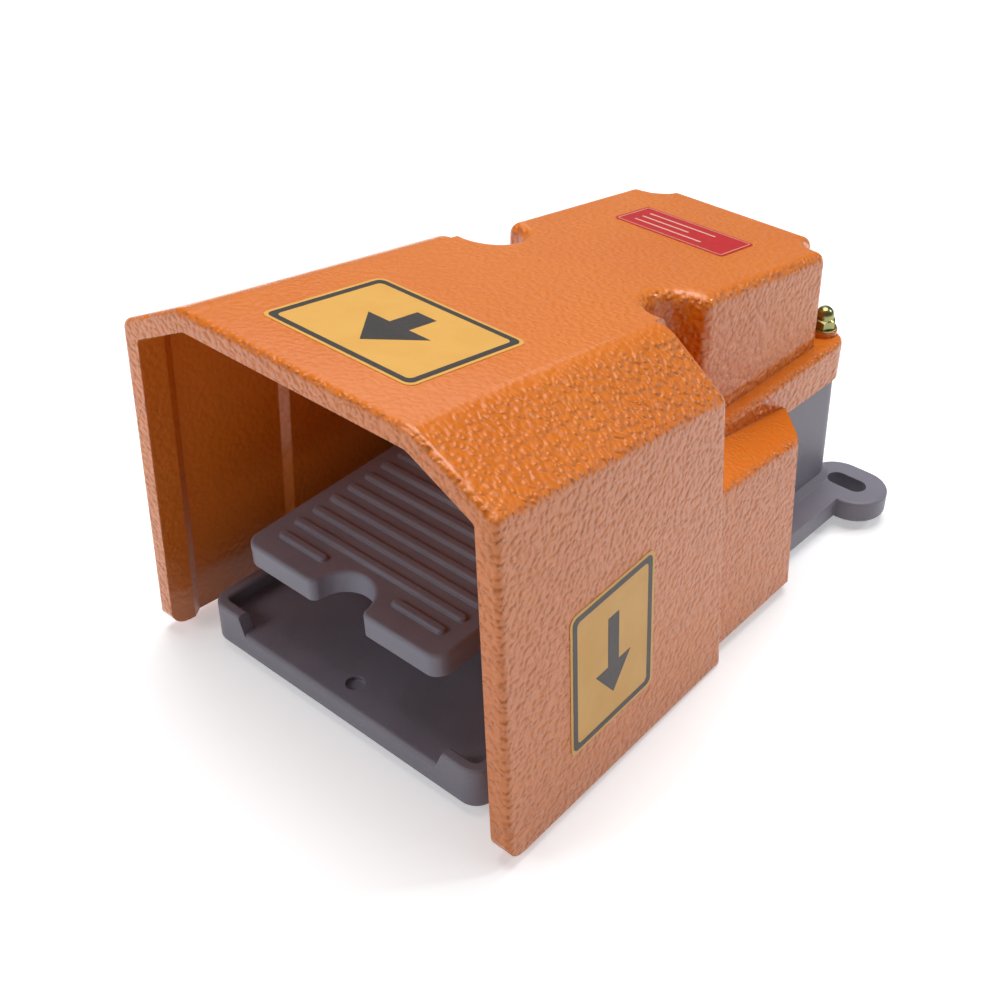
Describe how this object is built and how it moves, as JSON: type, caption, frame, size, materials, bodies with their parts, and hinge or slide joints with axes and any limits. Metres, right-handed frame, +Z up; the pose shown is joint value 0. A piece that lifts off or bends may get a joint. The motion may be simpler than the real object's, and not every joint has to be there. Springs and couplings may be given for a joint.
{
  "type": "industrial foot switch",
  "caption": "Industrial foot switch: a cast guard hood over a ribbed spring-return pedal, on a cast base with a closed switch chamber and mounting ears.",
  "frame": {"origin": "centre of the overall box on the ground plane under the rubber feet", "axes": "-Y out of the guard's mouth towards the operator, +X to the operator's right seen from the front, +Z up"},
  "size_m": [0.168, 0.2564, 0.1434],
  "materials": {
    "guard_orange": "hammered orange powder coat",
    "casting_grey": "fine-grained grey paint over a die casting",
    "pedal_grey": "worn grey paint over a die casting",
    "passivated_zinc": "yellow-passivated zinc plate",
    "bright_steel": "ground steel",
    "black_rubber": "matt black rubber",
    "gasket_rubber": "matt sheet rubber",
    "bearing_bronze": "sintered bronze",
    "lever_casting": "plain die casting",
    "spring_steel": "oiled spring wire",
    "case_black": "moulded thermoset",
    "plunger_red": "moulded",
    "contact_brass": "stamped brass",
    "shield_plastic": "moulded insulation",
    "bracket_zinc": "zinc-plated sheet",
    "gland_plastic": "moulded nylon"
  },
  "bodies": {
    "base": {"base_casting": "casting_grey", "guard_casting": "guard_orange", "rim_gasket": "gasket_rubber", "cover_studs": "passivated_zinc", "cover_washers": "passivated_zinc", "cover_cap_nuts": "passivated_zinc", "rubber_feet": "black_rubber", "foot_screws": "passivated_zinc", "shaft_bushes": "bearing_bronze", "shaft_seals": "black_rubber", "return_springs": "spring_steel", "switch_body": "case_black", "switch_terminals": "contact_brass", "terminal_screws": "passivated_zinc", "terminal_shield": "shield_plastic", "switch_bracket": "bracket_zinc", "bracket_screws": "passivated_zinc", "switch_screws": "passivated_zinc", "switch_nuts": "passivated_zinc", "gland_body": "gland_plastic", "gland_cap": "gland_plastic", "gland_seal": "black_rubber", "gland_locknut": "gland_plastic", "earth_screw": "contact_brass", "earth_washer": "contact_brass"},
    "pedal": {"pedal_casting": "pedal_grey", "pivot_shaft": "bright_steel", "pedal_pins": "bright_steel", "shaft_retaining_rings": "spring_steel", "switch_lever": "lever_casting", "lever_pin": "bright_steel", "adjusting_screw": "passivated_zinc", "adjusting_locknut": "passivated_zinc"},
    "plunger": {"switch_plunger": "plunger_red"}
  },
  "joints": [
    {"name": "pedal_hinge", "type": "hinge", "parent": "base", "child": "pedal", "pos_m": [0, 0.02185, 0.044], "axis": [1, 0, 0], "range_deg": [0, 10], "stiffness_Nm_per_rad": 8, "springref_deg": -6.88, "deforming": ["return_springs"]},
    {"name": "plunger_slide", "type": "slide", "parent": "base", "child": "plunger", "axis": [0, 0, 1], "range_m": [0, 0.0043], "stiffness_N_per_m": 300, "springref_m": -0.002}
  ],
  "couplings": [
    {"joint": "plunger_slide", "follows": "pedal_hinge", "m_per_rad": 0.024}
  ]
}
